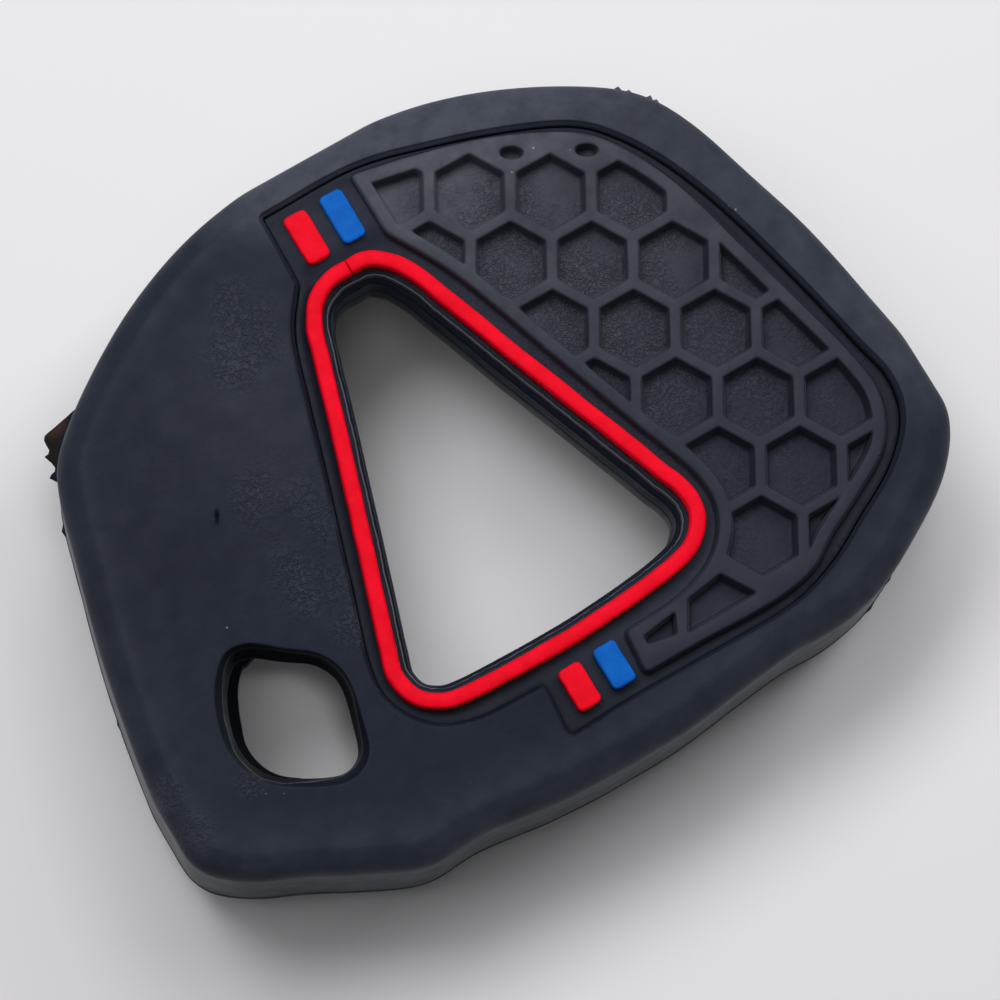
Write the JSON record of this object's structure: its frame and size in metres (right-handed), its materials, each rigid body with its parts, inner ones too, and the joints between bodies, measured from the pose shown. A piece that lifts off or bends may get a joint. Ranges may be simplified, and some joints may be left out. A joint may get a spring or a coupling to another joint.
{
  "type": "key fob cover",
  "caption": "Soft silicone key fob cover with a triangular window, honeycomb panel, red bead, colour bars and a key ring slot.",
  "frame": {"origin": "middle of the cover's bounding box at the level of the rear lip", "axes": "+X along the cover's length towards the honeycomb side, +Y across it towards the narrow end of the window, +Z out of the front face"},
  "size_m": [0.0654, 0.0514, 0.016],
  "materials": {
    "shell_silicone": "soft matt silicone with fine grain",
    "inlay_silicone": "matt silicone with pebbled cell floors",
    "red_silicone": "satin red silicone",
    "blue_silicone": "satin blue silicone"
  },
  "bodies": {
    "root": {"cover_shell": "shell_silicone", "front_inlay": "inlay_silicone", "window_bead": "red_silicone", "upper_red_bar": "red_silicone", "upper_blue_bar": "blue_silicone", "lower_red_bar": "red_silicone", "lower_blue_bar": "blue_silicone"}
  },
  "joints": []
}
